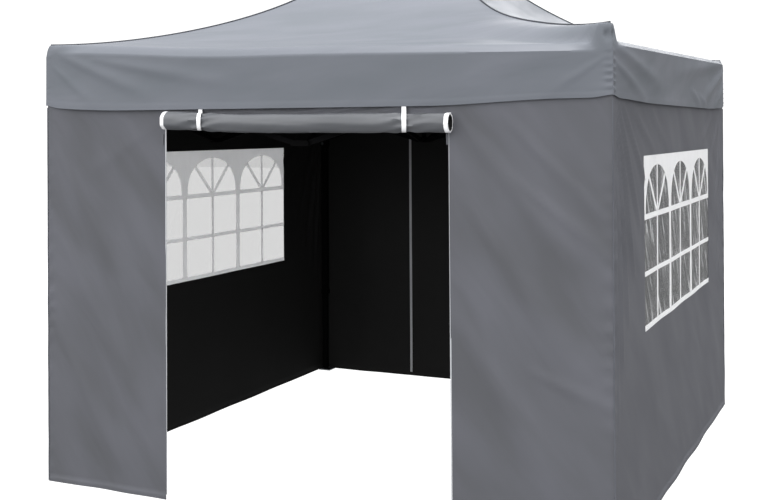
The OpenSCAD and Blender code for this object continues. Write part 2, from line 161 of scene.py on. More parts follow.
bar_eye_run = 0.037
rivet_near = 0.01342
rivet_out = 0.0128
rim_lean = 0.5
corners = {"front_left": (-1, -1), "front_right": (1, -1), "back_right": (1, 1), "back_left": (-1, 1)}
sides = ["front", "right", "back", "left"]


def bar_rules(node):
    """On a bar, the ends are nylon eyes and the heads at its middle are the rivet."""
    low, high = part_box(node)
    middle = (low + high) / 2
    along = 0 if high.x - low.x > high.y - low.y else 1
    across = 1 - along
    half = (high[along] - low[along]) / 2 - bar_eye_run

    def at_end(centre, normal):
        return abs(centre[along] - middle[along]) > half

    def on_rivet(centre, normal):
        near = math.hypot(centre[along] - middle[along], centre.z - middle.z) < rivet_near
        on_rim = abs(normal[across]) < rim_lean
        return near and (on_rim or abs(centre[across] - middle[across]) > rivet_out)

    return [(nylon, at_end), (zinc_plate, on_rivet)]


for side in sides:
    bars = [f"{side}_cross_top_bar", f"{side}_cross_low_bar"]
    bars += [f"{side}_{half}_{kind}" for half in ("left", "right") for kind in ("slider_bar", "top_bar")]
    for bar in bars:
        finish_node(bar, powder_coat, bar_rules(bar))
    finish_node(f"{side}_upper_joint", nylon)
    finish_node(f"{side}_lower_joint", nylon)

leg_tube_low = 0.6
bracket_tall = 0.126
foot_top = 0.0065
bush_low = 0.849
mast_hub_tall = 0.031
mast_cap_tall = 0.0185
for corner in corners:
    bracket_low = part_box(f"{corner}_leg")[1].z - bracket_tall
    finish_node(f"{corner}_leg", powder_coat, [
        (nylon, lambda centre, normal, edge=bracket_low: centre.z > edge or centre.z < leg_tube_low),
    ])
    finish_node(f"{corner}_inner_leg", powder_coat, [
        (zinc_plate, lambda centre, normal: centre.z < foot_top),
        (nylon, lambda centre, normal: centre.z > bush_low),
    ])
    finish_node(f"{corner}_slider", nylon)
    finish_node(f"{corner}_latch", zinc_plate)
finish_node("upper_hub", nylon)
mast_low, mast_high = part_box("mast")
mast_hub_high = mast_low.z + mast_hub_tall
mast_cap_low = mast_high.z - mast_cap_tall
finish_node("mast", powder_coat, [
    (nylon, lambda centre, normal: centre.z < mast_hub_high or centre.z > mast_cap_low),
])


# Canopy
# One sewn cover of PU-coated polyester: four roof panels that sweep up to the mast, dark piped seams on
# the ridges, and a valance that turns down over the eaves. The underside has a black blackout coat.
roof_low, roof_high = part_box("canopy")
cover_half = roof_high.x
peak = roof_high.z
valance_low = roof_low.z
corner_h = 2.257
crown_half = 0.03
cloth_t = 0.002
ridge_bow = 0.705
ridge_power = 8
smooth_angle = math.radians(50)
crease_root = 0.35
crease_fade = 0.6


def coated_cloth(name, colour, sheen_colour, lean, gloss, roughness, slackness=0.2):
    """Woven polyester under a thin clear coat, with slanted streaks where the cloth hangs slack.

    lean is the streaks' slope in degrees, slackness how far they stand out. The streaks also shift the
    colour towards sheen_colour, a painted sheen of the coat.
    """
    made, tree = new_material(name)
    place = add_node(tree, "UVMap", uv_map="cloth").outputs[0]
    slant = add_node(tree, "Mapping", {"Vector": place, "Rotation": (0, 0, math.radians(lean)),
                                       "Scale": (1.0, 0.3, 1.0)}, vector_type="TEXTURE")
    slack = add_node(tree, "TexNoise", {"Vector": slant.outputs[0], "Scale": 1.5, "Detail": 3.0,
                                        "Roughness": 0.45, "Distortion": 0.3}).outputs["Fac"]
    sheen_streak = ranged(tree, slack, 0.0, 1.0, 0.32, 0.68)
    soft = add_node(tree, "Bump", {"Height": slack, "Strength": slackness, "Distance": 0.03})
    # Real threads are 0.4 mm apart; they are drawn 4 mm apart so that the weave shows from close by
    thread_apart = 0.004
    thread = math.tau / 20 / thread_apart
    warp = add_node(tree, "TexWave", {"Vector": place, "Scale": thread}, bands_direction="X")
    weft = add_node(tree, "TexWave", {"Vector": place, "Scale": thread}, bands_direction="Y")
    weave = add_node(tree, "Math", {0: warp.outputs["Fac"], 1: weft.outputs["Fac"]}, operation="MULTIPLY")
    fine = add_node(tree, "Bump", {"Height": weave.outputs[0], "Strength": 0.06, "Distance": 0.0004,
                                   "Normal": soft.outputs[0]})
    low, high = roughness
    # Painted sheen: the colour follows the streaks towards sheen_colour, and the roughness is lower on
    # them
    show(tree, add_node(tree, "BsdfPrincipled", {
        "Base Color": blend(tree, sheen_streak, colour, sheen_colour), "Specular IOR Level": gloss,
        "Roughness": ranged(tree, sheen_streak, high, low), "Normal": fine.outputs[0],
    }))
    return made


# Painted light: the canopy is drawn a lighter tone than the walls' same polyester, for the brighter roof
# and valance
canopy_cloth = coated_cloth("canopy_polyester", "#5b5f65", "#62656c", 12, 0.14, (0.4, 0.5))
blackout = moulded("blackout_coat", "#1c1c1c", "#222222", (0.6, 0.75), 0.0, 6.0, 0.1, 0.12)
panel_apart = 4.0


def sewn_sheet(name, us, vs, place, thickness, materials, keep=None, panels=1):
    """A sheet over the grid us by vs, each point laid where place(u, v) says, cut and made thick.

    Its outer face looks along du x dv and takes the first material, its back the second. The UV map
    "cloth" holds metres of cloth: sideways from the middle of each sewn panel, and up from its hem.
    """
    bpy.ops.object.select_all(action="DESELECT")
    columns, rows = len(us) - 1, len(vs) - 1
    bpy.ops.mesh.primitive_grid_add(x_subdivisions=columns, y_subdivisions=rows, size=2)
    sheet = bpy.context.object
    sheet.name = name
    mesh = sheet.data
    mesh.name = name
    steps = [(round((p.co.x + 1) / 2 * columns), round((p.co.y + 1) / 2 * rows)) for p in mesh.vertices]
    laid = [[place(u, v) for v in vs] for u in us]
    for point, (i, j) in zip(mesh.vertices, steps):
        point.co = laid[i][j]
    wide = columns // panels
    cut = {}
    for panel in range(panels):
        first = panel * wide
        middle = first + wide // 2
        up = 0.0
        for j in range(rows + 1):
            if j:
                up += (laid[middle][j] - laid[middle][j - 1]).length
            along = [0.0]
            for i in range(first, first + wide):
                along.append(along[-1] + (laid[i + 1][j] - laid[i][j]).length)
            for i in range(wide + 1):
                cut[panel, first + i, j] = (panel * panel_apart + along[i] - along[wide // 2], up)
    run = mesh.uv_layers[0]
    run.name = "cloth"
    for face in mesh.polygons:
        panel = min(steps[n][0] for n in face.vertices) // wide
        for corner in face.loop_indices:
            run.data[corner].uv = cut[(panel, *steps[mesh.loops[corner].vertex_index])]
    for material in materials:
        mesh.materials.append(material)
    if keep:
        bpy.ops.object.mode_set(mode="EDIT")
        bpy.ops.mesh.select_mode(type="FACE")
        bpy.ops.mesh.select_all(action="DESELECT")
        bpy.ops.object.mode_set(mode="OBJECT")
        for face in mesh.polygons:
            i = min(steps[n][0] for n in face.vertices)
            j = min(steps[n][1] for n in face.vertices)
            face.select = not keep((us[i] + us[i + 1]) / 2, (vs[j] + vs[j + 1]) / 2)
        bpy.ops.object.mode_set(mode="EDIT")
        bpy.ops.mesh.delete(type="FACE")
        bpy.ops.object.mode_set(mode="OBJECT")
    bpy.ops.object.mode_set(mode="EDIT")
    bpy.ops.mesh.select_all(action="SELECT")
    bpy.ops.mesh.remove_doubles(threshold=1e-5)
    bpy.ops.object.mode_set(mode="OBJECT")
    if thickness:
        thick = sheet.modifiers.new("thickness", "SOLIDIFY")
        thick.thickness = thickness
        thick.offset = -1
        thick.material_offset = 1 if len(materials) > 1 else 0
        bpy.ops.object.modifier_apply(modifier=thick.name)
    bpy.ops.object.shade_smooth_by_angle(angle=smooth_angle)
    return sheet


def spread(a, b, count):
    """Even steps from a to b, both included."""
    return [a + (b - a) * i / count for i in range(count + 1)]


def at_side(k, along, out, z):
    """A point on side k, counted from the front to the right: along the side, out from the middle."""
    return [Vector((along, -out, z)), Vector((out, along, z)),
            Vector((-along, out, z)), Vector((-out, -along, z))][k]


def bell(distance, width):
    """A smooth bump that is 1 at no distance and fades over a width."""
    return math.exp(-(distance / width) ** 2)


def smooth(share):
    """Eases from 0 to 1."""
    share = max(0.0, min(1.0, share))
    return share * share * (3 - 2 * share)


def crease(x, z, start, end, width):
    """How near a point is to a fold line: 1 on it, fading across its width and to both ends."""
    run = Vector(end) - Vector(start)
    reach = Vector((x, z)) - Vector(start)
    share = reach.dot(run) / run.length_squared
    if not 0 < share < 1:
        return 0.0
    distance = (reach - run * share).length
    spread_out = crease_root + (1 - crease_root) * share
    return bell(distance, width * spread_out) * math.sin(math.pi * share) ** crease_fade


def ridge(t):
    """Height of a ridge as a share of the whole rise, at a share t of the way to the peak."""
    return ridge_bow * t ** 2 + (1 - ridge_bow) * t ** ridge_power


# How far each eave hangs below the leg tops: in its middle, how much more at its right, and its sag
eave_hang = [(0.041, 0.044, 0.01), (0.037, -0.034, 0.0), (0.05, 0.0, 0.02), (0.05, 0.0, 0.02)]
# Where each ridge stands off its true curve: how far, at what share of the way out, over what share
ridge_slack = [(0.018, 0.75, 0.35), (-0.043, 0.42, 0.22), (0.012, 0.42, 0.25), (0.0, 0.5, 0.3)]
leg_cover = 0.045
corner_fall = 0.03
corner_ease = 1.6
corner_blend = 0.04
eave_power = 1.5
front_dip = 0.014
dip_at = -0.33
dip_wide = 0.3


def side_hang(k, a):
    """How far side k's eave hangs, at a share a of the way from its middle to its right end."""
    middle, gain, sag = eave_hang[k % 4]
    dip = front_dip * bell(a - dip_at, dip_wide) if k % 4 == 0 else 0.0
    return middle + gain * a + sag * (1 - a * a) + dip


def eave_drop(k, a):
    """The hang of an eave, evened out with the next side's over the corner."""
    end = math.copysign(1.0, a)
    step = (side_hang(k + int(end), -end) - side_hang(k, end)) / 2
    return side_hang(k, a) + step * bell((1 - abs(a)) * cover_half, corner_blend)


def evened(values, k, a):
    """Side k's value, evened out with the next side's over the corner."""
    step = (values[(k + int(math.copysign(1, a))) % 4] - values[k]) / 2
    return values[k] + step * bell((1 - abs(a)) * cover_half, corner_blend)


def roof_height(k, s, a):
    """Height of side k's roof at a share s of the way out, at a share a of the way along the side.

    Each leg holds its corner up. The cloth falls steeply beside it to the slack eave, less so inwards.
    """
    crown = crown_half / cover_half
    t = min(1.0, (1 - s) / (1 - crown))
    z = corner_h + (peak - corner_h) * ridge(t)
    for corner, share in ((k, (1 - a) / 2), (k + 1, (1 + a) / 2)):
        amount, at, width = ridge_slack[corner % 4]
        z += amount * share * bell(s - at, width)
    from_ridge = (1 - abs(a)) * cover_half * s
    fall = smooth((from_ridge - leg_cover * s) / (corner_fall + corner_ease * (1 - s)))
    return z - eave_drop(k, a) * fall * max(s, 0) ** eave_power


# Slack folds of the valance on each side: from, to, how deep and how wide
valance_folds = [
    [((-1.42, 2.22), (-0.78, 1.98), 0.007, 0.042), ((-1.22, 2.19), (-0.35, 2.04), 0.006, 0.042),
     ((-1.47, 2.17), (-1.15, 1.95), 0.004, 0.03), ((1.47, 2.12), (1.2, 1.96), 0.003, 0.025)],
    [((1.49, 2.22), (0.55, 1.96), 0.014, 0.05), ((1.49, 2.24), (-0.3, 2.1), 0.01, 0.055),
     ((-1.49, 2.16), (-0.55, 2.02), 0.009, 0.045), ((-1.49, 2.1), (-0.9, 1.94), 0.008, 0.035),
     ((1.49, 2.12), (1.05, 1.95), 0.01, 0.035), ((0.2, 2.04), (0.55, 1.94), 0.009, 0.03),
     ((0.45, 2.02), (0.72, 1.94), 0.007, 0.022)],
    [((-1.47, 2.2), (-0.8, 1.98), 0.008, 0.03), ((1.47, 2.2), (0.9, 1.97), 0.008, 0.03)],
    [((-1.47, 2.2), (-1.0, 1.97), 0.008, 0.03), ((1.47, 2.2), (0.85, 1.98), 0.008, 0.03)],
]
side_run = 112
corner_crowding = 0.8
hem = 0.025
hem_step = 0.0015
hem_flare = [0.006, 0.001, 0.008, 0.008]
flare_loss = [0.008, 0.0, 0.0, 0.0]
hem_thick = 0.0012
valance_hem = 0.0002
hem_share = 0.11
hem_edge = 0.006
hem_lift = 0.012
hem_sag = 0.012
front_hem_sag = 0.024
sag_start = -1.15
sag_grows = 0.5
sag_end = 0.88
sag_fades = 0.45
# The fold over each eave: how deep and how tall it is before it breaks into the valance
eave_bend = [0.036, 0.02, 0.03, 0.03]
bend_tall = [0.032, 0.024, 0.03, 0.03]
bend_round = 1.6
corner_bend = 0.012
leg_reach = 0.068
leg_ease = 0.12
# How far the valance stands out more at its fold than at its hem
bulge = [0.007, 0.012, 0.0, 0.0]
valance_proud = 0.01
corner_proud = 0.004
proud_ease = 0.3
flare_ease = 0.3
flare_power = 1.5
bulge_ease = 0.2
right_from = -0.2
right_run = 1.1
loose_deep = 0.006
roof_crowding = 1.15
roof_slack = 0.01
slack_at = 0.8
slack_wide = 0.25
seam_held = 0.01
lift_run = 0.06
pucker_run = 0.032
pucker_apart = 0.031
# How deep the corner seams pucker; the front right one is drawn up hard, with a tuck near its top
pucker_deep = [0.0015, 0.0075, 0.004, 0.004]
tuck_z = 2.208
tuck_deep = 0.014
tuck_wide = 0.016
around = [k + i / side_run for k in range(4) for i in range(side_run)] + [4.0]
hem_to_peak = ([0, hem_share / 2, hem_share - hem_edge] + spread(hem_share, 1, 22)[:-1]
               + spread(1, 2, 10)[:-1] + spread(2, 3, 58))


def hem_hang(k, a):
    """How far the valance's hem hangs below its ends; the front one hangs more, and more to the left."""
    if k == 0:
        grown = smooth((a - sag_start) / sag_grows)
        return front_hem_sag * grown * smooth((sag_end - a) / sag_fades)
    return hem_sag * smooth((1 - abs(a)) / sag_grows)


def valance_stands(k, a, z, down):
    """How far the valance stands off its plane, a share down of the way down to its hem."""
    from_corner = (1 - abs(a)) * cover_half
    corner = (k + (a > 0)) % 4
    pull = bell(from_corner, pucker_run)
    ripples = math.sin(math.tau * z / pucker_apart + 2 * k + 2.5 * noise(Vector((0, 9 * z, k))))
    patchy = max(0.0, 0.45 + 1.3 * noise(Vector((3.3 * k, 6.5 * z, 2.2))))
    off = pucker_deep[corner] * pull * ripples * patchy * min(1, from_corner / seam_held)
    loose = max(0, 0.5 + noise(Vector((2.3 * a + 7 * k, -0.6 * down, 3.1 * k))))
    off += loose_deep * down * (1 - pull) * loose
    rightwards = smooth((a - right_from) / right_run) if k == 0 else 1.0
    flare = hem_flare[k] - flare_loss[k] * rightwards
    off += flare * down ** flare_power * smooth(from_corner / flare_ease)
    off += bulge[k] * rightwards * (1 - down) * smooth(from_corner / bulge_ease)
    for start, end, depth, width in valance_folds[k]:
        off += depth * crease(a * cover_half, z, start, end, width)
    return off


def canopy_point(u, v):
    """v runs 0 to 1 up the valance, 1 to 2 round the eave and 2 to 3 up the roof."""
    k = min(3, int(u))
    w = 2 * (u - k) - 1
    a = w if abs(w) == 1 else w + corner_crowding * math.sin(math.pi * w) / math.pi
    from_corner = (1 - abs(a)) * cover_half
    off_leg = smooth((from_corner - leg_reach) / leg_ease)
    bend = corner_bend + (eave_bend[k] - corner_bend) * off_leg
    edge = 1 - bend / cover_half
    if v > 2:
        s = (3 - v) ** roof_crowding * edge
        slack = roof_slack * bell(s - slack_at, slack_wide) * (1 - a * a)
        z = roof_height(k, s, a) + slack * noise(Vector((1.9 * a + 5 * k, 2.6 * s, 1.7 * k)))
        return at_side(k, a * cover_half * s, cover_half * s, z)
    straight_top = corner_h - eave_drop(k, a) - evened(bend_tall, k, a)
    down = max(0.0, 1 - v)
    over = max(0.0, v - 1)
    quarter = math.radians(90) * over
    if v <= 1:
        z = valance_low + (straight_top - valance_low) * v - hem_hang(k, a) * down
        z += hem_lift * bell(from_corner, lift_run) * down ** 3
    else:
        rise = (1 - off_leg) * math.sin(quarter) + off_leg * (1 - (1 - over) ** bend_round)
        z = straight_top + (roof_height(k, edge, a) - straight_top) * rise
    inwards = (1 - off_leg) * (1 - math.cos(quarter)) + off_leg * over
    proud = corner_proud + (valance_proud - corner_proud) * smooth(from_corner / proud_ease)
    out = cover_half - bend * inwards + (proud + valance_stands(k, a, z, down)) * (1 - over) ** 2
    if (k + (a > 0)) % 4 == 1:
        out -= tuck_deep * bell(math.hypot(from_corner - tuck_wide, z - tuck_z), tuck_wide)
    if v < hem_share:
        out += valance_hem
    return at_side(k, a * out, out, z)


canopy = sewn_sheet("canopy_cover", around, hem_to_peak, canopy_point, cloth_t, [canopy_cloth, blackout],
                    panels=4)
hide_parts("canopy")


# Ridge piping
# A dark folded binding over each ridge seam, sewn through, from the corner of the eave up to the crown.
piping_r = 0.0045
tube_lift = 0.4
binding = coated_cloth("binding_tape", "#3a3c42", "#34363b", 0, 0.2, (0.5, 0.6))


def tube(name, route, radius, facets, material):
    """A closed tube along a route, with its ends drawn to a point."""
    last = len(route) - 1

    def place(u, v):
        n = min(max(int(round(v)), 0), last)
        ahead = (route[min(n + 1, last)] - route[max(n - 1, 0)]).normalized()
        up = Vector((0, 0, 1)) if abs(ahead.z) < 0.9 else Vector((1, 0, 0))
        across = (up - ahead * up.dot(ahead)).normalized()
        size = 0.0 if v in (-1, last + 1) else radius
        return route[n] + size * (across * math.cos(u) + ahead.cross(across) * math.sin(u))

    return sewn_sheet(name, spread(0, math.tau, facets), range(-1, last + 2), place, 0, [material])


ridge_steps = 70
pipings = []
for k, corner in enumerate(corners):
    route = [canopy_point(float(k), 2 + i / ridge_steps) for i in range(ridge_steps)]
    lift = Vector((0, 0, tube_lift * piping_r))
    route = [point + lift for point in route]
    pipings.append(tube(f"{corner}_ridge_piping", route, piping_r, 8, binding))


# How the cover folds
# The cover is buckled to the leg tops and rests on the mast's cap, so it gathers between the four legs as
# the frame closes, and the roof comes down with the mast.
gather_reach = 1.385
least_share = 0.0005


def hook_to(piece, puller, weigh):
    """Pulls each point of a piece after a body by the share that weigh(point) gives."""
    group = piece.vertex_groups.new(name=puller.name)
    for point in piece.data.vertices:
        share = weigh(point.co)
        if share > least_share:
            group.add([point.index], share, "REPLACE")
    hook = piece.modifiers.new(puller.name, "HOOK")
    hook.object = puller
    hook.vertex_group = group.name
    hook.falloff_type = "NONE"


def corner_share(co, sx, sy):
    """The share of one leg's travel that a point of the cover follows."""
    ux = max(-1.0, min(1.0, co.x / gather_reach))
    uy = max(-1.0, min(1.0, co.y / gather_reach))
    return (1 + sx * ux) * (1 + sy * uy) / 4


def gathers(piece):
    """Gathers a piece of the cover between the legs as the frame folds."""
    for corner, (sx, sy) in corners.items():
        hook_to(piece, frame["bodies"][f"{corner}_leg"], lambda co: corner_share(co, sx, sy))


def gathers_sliding(node, held_at):
    """Gathers a CAD node that also slides along the cover on its own body, without squeezing it."""
    for corner, (sx, sy) in corners.items():
        carrier = bpy.data.objects.new(f"{node}_{corner}", None)
        bpy.context.scene.collection.objects.link(carrier)
        for followed in (f"{corner}_leg", node):
            follow = carrier.constraints.new("COPY_LOCATION")
            follow.target = frame["bodies"][followed]
            follow.use_offset = True
        bpy.context.view_layer.update()
        hook_to(frame["nodes"][node], carrier, lambda co: corner_share(held_at(co), sx, sy))


def on_mast(co):
    """The share of the mast's drop that a point of the roof follows."""
    return max(0.0, min(1.0, (co.z - corner_h) / (peak - corner_h)))


for piece in [canopy] + pipings:
    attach(piece, "cover")
    gathers(piece)
    hook_to(piece, frame["bodies"]["mast"], on_mast)


# Walls
# Four hanging walls of the same polyester, joined at the corners by sewn seams. The front and back walls
# have a zipped door between two strips; the side walls have a window opening.
wall_out = 1.4977
wall_t = 0.002
wall_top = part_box("back_wall")[1].z
door_half = 0.77
door_head = 1.917
window_half = 0.9
window_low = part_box("left_window")[0].z
window_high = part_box("left_window")[1].z
# Painted shade: the walls are drawn a darker tone than the canopy's same polyester
wall_cloth = coated_cloth("wall_polyester", "#505155", "#595a60", -54, 0.1, (0.58, 0.72))
# Painted light: the side walls get their own slightly lighter copy of the wall polyester, to offset the
# dimmer light on the sides
side_cloth = coated_cloth("side_wall_polyester", "#55565b", "#5a5b60", -40, 0.1, (0.6, 0.72), 0.06)
fold_deep = 0.007
fold_lean = math.radians(60)
strip_pitch = 0.36
door_pitch = 0.51
side_pitch = 0.62
slack_deep = 0.0035
seam_deep = 0.005
seam_run = 0.035
seam_edge = 0.008
seam_apart = 0.085
wall_lean = 0.0072
leg_clear = 0.0072
leg_edge = 1.375
valance_room = 0.05
front_seed = 1.5
back_seed = 6.5
right_seed = 11.5
left_seed = 17.5


def hang(z):
    """Folds grow from the valance down to the hem."""
    return math.sin(math.pi / 2 * max(0.0, 1 - z / valance_low))


def fade(x, a, b):
    """Folds fade out at a taut edge at a and at b."""
    return max(0.0, math.sin(math.pi * (x - a) / (b - a)))


def ripple(x, z, pitch):
    """A row of folds that lean a little as they fall."""
    return (1 + math.sin(math.tau * x / pitch + fold_lean * z)) / 2


def fold(x, z, a, b, pitch):
    """How far the wall hangs back from its face."""
    return fold_deep * hang(z) * fade(x, a, b) * ripple(x, z, pitch)


def slack_cloth(x, z, seed):
    """Small unevenness of loosely hung cloth."""
    return slack_deep * noise(Vector((1.3 * x + 0.8 * z, 0.9 * z - 0.5 * x, seed)))


def seam_pucker(distance, z, seed):
    """Short ripples across a sewn seam, stronger in some places than in others."""
    depth = seam_deep * bell(distance, seam_run) * min(1.0, distance / seam_edge)
    depth *= max(0.0, 0.5 + 1.5 * noise(Vector((0, 2.2 * z, seed + 3))))
    return depth * math.sin(math.tau * z / seam_apart + 3 * noise(Vector((0, 4 * z, seed))))


def held_out(x, depth):
    """The legs hold the cloth out beside the corners."""
    return min(depth, leg_clear + max(0.0, leg_edge - abs(x)))


def leans_in(z):
    """The walls hang a little inwards at the ground, and stay behind the valance above its hem."""
    return wall_lean * max(0.0, 1 - z / valance_low)


def narrows(x, z):
    """The walls lean in on both sides of a corner, so each gets a little narrower to the ground."""
    return x * (wall_out - leans_in(z)) / wall_out


def under_valance(z, depth):
    """Keeps a wall's face behind the valance."""
    share = max(0.0, min(1.0, (z - valance_low + valance_room) / valance_room))
    return depth * (1 - share) + max(depth, 0.0) * share


def hem_turn(z):
    """The turned-up hem stands a little proud."""
    return hem_thick if z < hem else 0.0


strip_run = spread(door_half, wall_out, 56)
door_run = spread(-door_half, door_half, 80)
door_xs = [-x for x in reversed(strip_run)] + door_run[1:-1] + strip_run
hem_rows = [0, hem / 2, hem - hem_step]
head_low = 1.868
door_zs = hem_rows + spread(hem, head_low, 90)[:-1] + spread(head_low, wall_top, 26)
head_run = spread(-door_half, door_half, 150)
front_xs = [-x for x in reversed(strip_run)] + head_run[1:-1] + strip_run
front_zs = hem_rows + spread(hem, head_low, 90)[:-1] + spread(head_low, wall_top, 56)
# Slack folds of the front strips: from, to, how deep and how wide
front_folds = [
    ((-0.8, 1.86), (-1.3, 1.55), 0.003, 0.05), ((-1.46, 1.75), (-0.95, 0.95), 0.006, 0.07),
    ((-1.4, 1.25), (-0.85, 0.35), 0.006, 0.08), ((-1.46, 0.85), (-1.05, 0.1), 0.006, 0.07),
    ((0.8, 1.88), (1.35, 1.22), 0.007, 0.06), ((0.82, 1.55), (1.38, 0.75), 0.007, 0.08),
    ((1.0, 1.9), (1.48, 1.42), 0.006, 0.04), ((1.05, 1.62), (1.49, 1.28), 0.006, 0.035),
    ((0.8, 1.0), (1.3, 0.22), 0.007, 0.09), ((1.1, 0.8), (1.49, 0.66), 0.005, 0.03),
]
head_sink = 0.002
head_ease = 6
head_crumple = 0.016
crumple_z = 1.935
crumple_tall = 0.03
edge_reach = 0.4
edge_top = 0.07
# How far the strips' edges stand to the right: the left one at its top, how much less at its foot, and the
# right one at its foot
left_shift = 0.024
left_shift_less = 0.006
right_shift = 0.003


def edge_shift(x, z):
    """How far a strip's free edge stands to the right of the doorway's edge."""
    low_share = 1 - z / door_head
    shift = left_shift - left_shift_less * low_share if x < 0 else right_shift * low_share
    inside = smooth(1 - (abs(x) - door_half) / edge_reach)
    return shift * inside * smooth((door_head - z) / edge_top)


def door_wall_back(x, z, seed):
    """Depth of a door wall behind its face: taut at the corners and the zips."""
    if abs(x) >= door_half:
        depth = fold(abs(x), z, door_half, wall_out, strip_pitch)
        depth += seam_pucker(wall_out - abs(x), z, seed)
    else:
        depth = fold(x, z, -door_half, door_half, door_pitch)
    return depth + slack_cloth(x, z, seed) * fade(abs(x), 0.0, wall_out)


def front_wall_point(x, z):
    """The strips stand a little to the right; the head is crumpled over the roll, and behind it."""
    back = door_wall_back(x, z, front_seed) if abs(x) >= door_half or z < head_low else 0
    for start, end, depth, width in front_folds:
        back -= depth * crease(x, z, start, end, width)
    back = held_out(x, under_valance(z, back) + leans_in(z)) - hem_turn(z)
    if z >= head_low and abs(x) < door_half:
        sunk = 1 - (abs(x) / door_half) ** head_ease
        crumple = noise(Vector((6 * x + 22 * z, 62 * z - 9 * x, 4.4)))
        back += sunk * (head_sink + head_crumple * crumple) * bell(z - crumple_z, crumple_tall)
    return at_side(0, narrows(x, z) + edge_shift(x, z), wall_out - back, z)


def back_wall_point(x, z):
    """The back wall with its door zipped shut."""
    back = held_out(x, under_valance(z, door_wall_back(x, z, back_seed)) + leans_in(z))
    return at_side(2, narrows(x, z), wall_out - back + hem_turn(z), z)


front_wall = sewn_sheet(
    "front_wall_cloth", front_xs, front_zs, front_wall_point, wall_t, [wall_cloth, blackout],
    keep=lambda x, z: abs(x) > door_half or z > head_low)
back_wall = sewn_sheet(
    "back_wall_cloth", door_xs, door_zs, back_wall_point, wall_t, [wall_cloth, blackout])

side_zs = (hem_rows + spread(hem, window_low, 36)[:-1] + spread(window_low, window_high, 34)[:-1]
           + spread(window_high, wall_top, 18))
window_edge = spread(window_half, wall_out, 44)
side_xs = [-x for x in reversed(window_edge)] + spread(-window_half, window_half, 84)[1:-1] + window_edge
# Folds that fan out from a side wall's upper corners, where it hangs from the frame
fan_folds = [
    ((-1.485, 1.99), (-1.42, 0.55), 0.016, 0.022), ((-1.48, 1.99), (-1.33, 0.8), 0.022, 0.025),
    ((-1.47, 1.99), (-1.22, 0.95), 0.023, 0.027), ((-1.46, 1.99), (-1.1, 1.15), 0.021, 0.028),
    ((-1.44, 1.99), (-0.98, 1.36), 0.018, 0.028), ((-1.4, 1.99), (-0.86, 1.56), 0.015, 0.028),
    ((-1.3, 1.99), (-0.62, 1.68), 0.012, 0.03), ((-0.95, 1.99), (-0.3, 1.7), 0.008, 0.032),
    ((1.48, 1.99), (1.3, 0.9), 0.014, 0.032), ((1.47, 1.99), (1.14, 1.25), 0.013, 0.034),
    ((1.44, 1.99), (0.96, 1.56), 0.011, 0.036), ((1.3, 1.99), (0.6, 1.7), 0.008, 0.036),
]
beside_fold = 0.35
beside_wide = 2.5
packing_crease = ((0.92, 1.452), (1.5, 1.462))
packing_deep = 0.0025
packing_wide = 0.01


def side_wall_back(x, z, seed):
    """Depth of a side wall behind its face."""
    depth = fold(x, z, -wall_out, wall_out, side_pitch)
    depth += slack_cloth(x, z, seed) * fade(x, -wall_out, wall_out)
    for start, end, deep, width in fan_folds:
        beside = beside_fold * crease(x, z, start, end, beside_wide * width)
        depth -= deep * (crease(x, z, start, end, width) - beside)
    depth -= packing_deep * crease(x, z, *packing_crease, packing_wide)
    depth += seam_pucker(wall_out - abs(x), z, seed)
    return held_out(x, under_valance(z, depth) + leans_in(z))


def window_wall(name, k, seed):
    """A side wall with the opening for its window."""
    def place(x, z):
        return at_side(k, narrows(x, z), wall_out - side_wall_back(x, z, seed) + hem_turn(z), z)

    return sewn_sheet(name, side_xs, side_zs, place, wall_t, [side_cloth, blackout],
                      keep=lambda x, z: abs(x) > window_half or not window_low < z < window_high)


right_wall = window_wall("right_wall_cloth", 1, right_seed)
left_wall = window_wall("left_wall_cloth", 3, left_seed)
for wall, node in ((front_wall, "front_wall"), (back_wall, "back_wall"),
                   (right_wall, "right_wall"), (left_wall, "left_wall")):
    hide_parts(node)
    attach(wall, "cover")
    gathers(wall)


# Corner seams
# Where two walls meet, their edges are turned out together and lockstitched, which leaves a thin raised
# edge down each corner that the thread draws up in places.
seam_r = 0.0028
seam_cloth = coated_cloth("seam_edge", "#595b61", "#505258", 80, 0.1, (0.55, 0.7))
seam_steps = 90
seam_gap = 0.004
seam_wander = 0.0018
seams = []
for k, corner in enumerate(corners):
    route = []
    for z in spread(seam_gap, valance_low - seam_gap, seam_steps):
        wander = seam_wander * noise(Vector((0, 7 * z, 5.5 * k)))
        out = wall_out - leans_in(z) + tube_lift * seam_r
        route.append(at_side(k, -out + wander, out, z))
    seams.append(tube(f"{corner}_corner_seam", route, seam_r, 8, seam_cloth))
    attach(seams[-1], "cover")
    gathers(seams[-1])


# Windows
# Clear soft PVC sheets, welded into the side walls' openings, with white glazing bars and arch heads
# printed on. The print is dense ink, drawn as a skin on both faces of the sheet.
pane_t = 0.001
pane_back = (wall_t - pane_t) / 2
pane_fit = 0.0003
print_skin = 0.0004
sash_count = 3
spring_z = 1.405
mid_z = 1.142
arch_top_gap = 0.048
arch_side = 0.03
arch_round = 0.82
spring_w = 0.026
mid_w = 0.022
sill_w = 0.025
post_w = 0.042
upright_w = 0.024
ray_w = 0.022
ray_l = 0.262
ray_lean = math.radians(45)


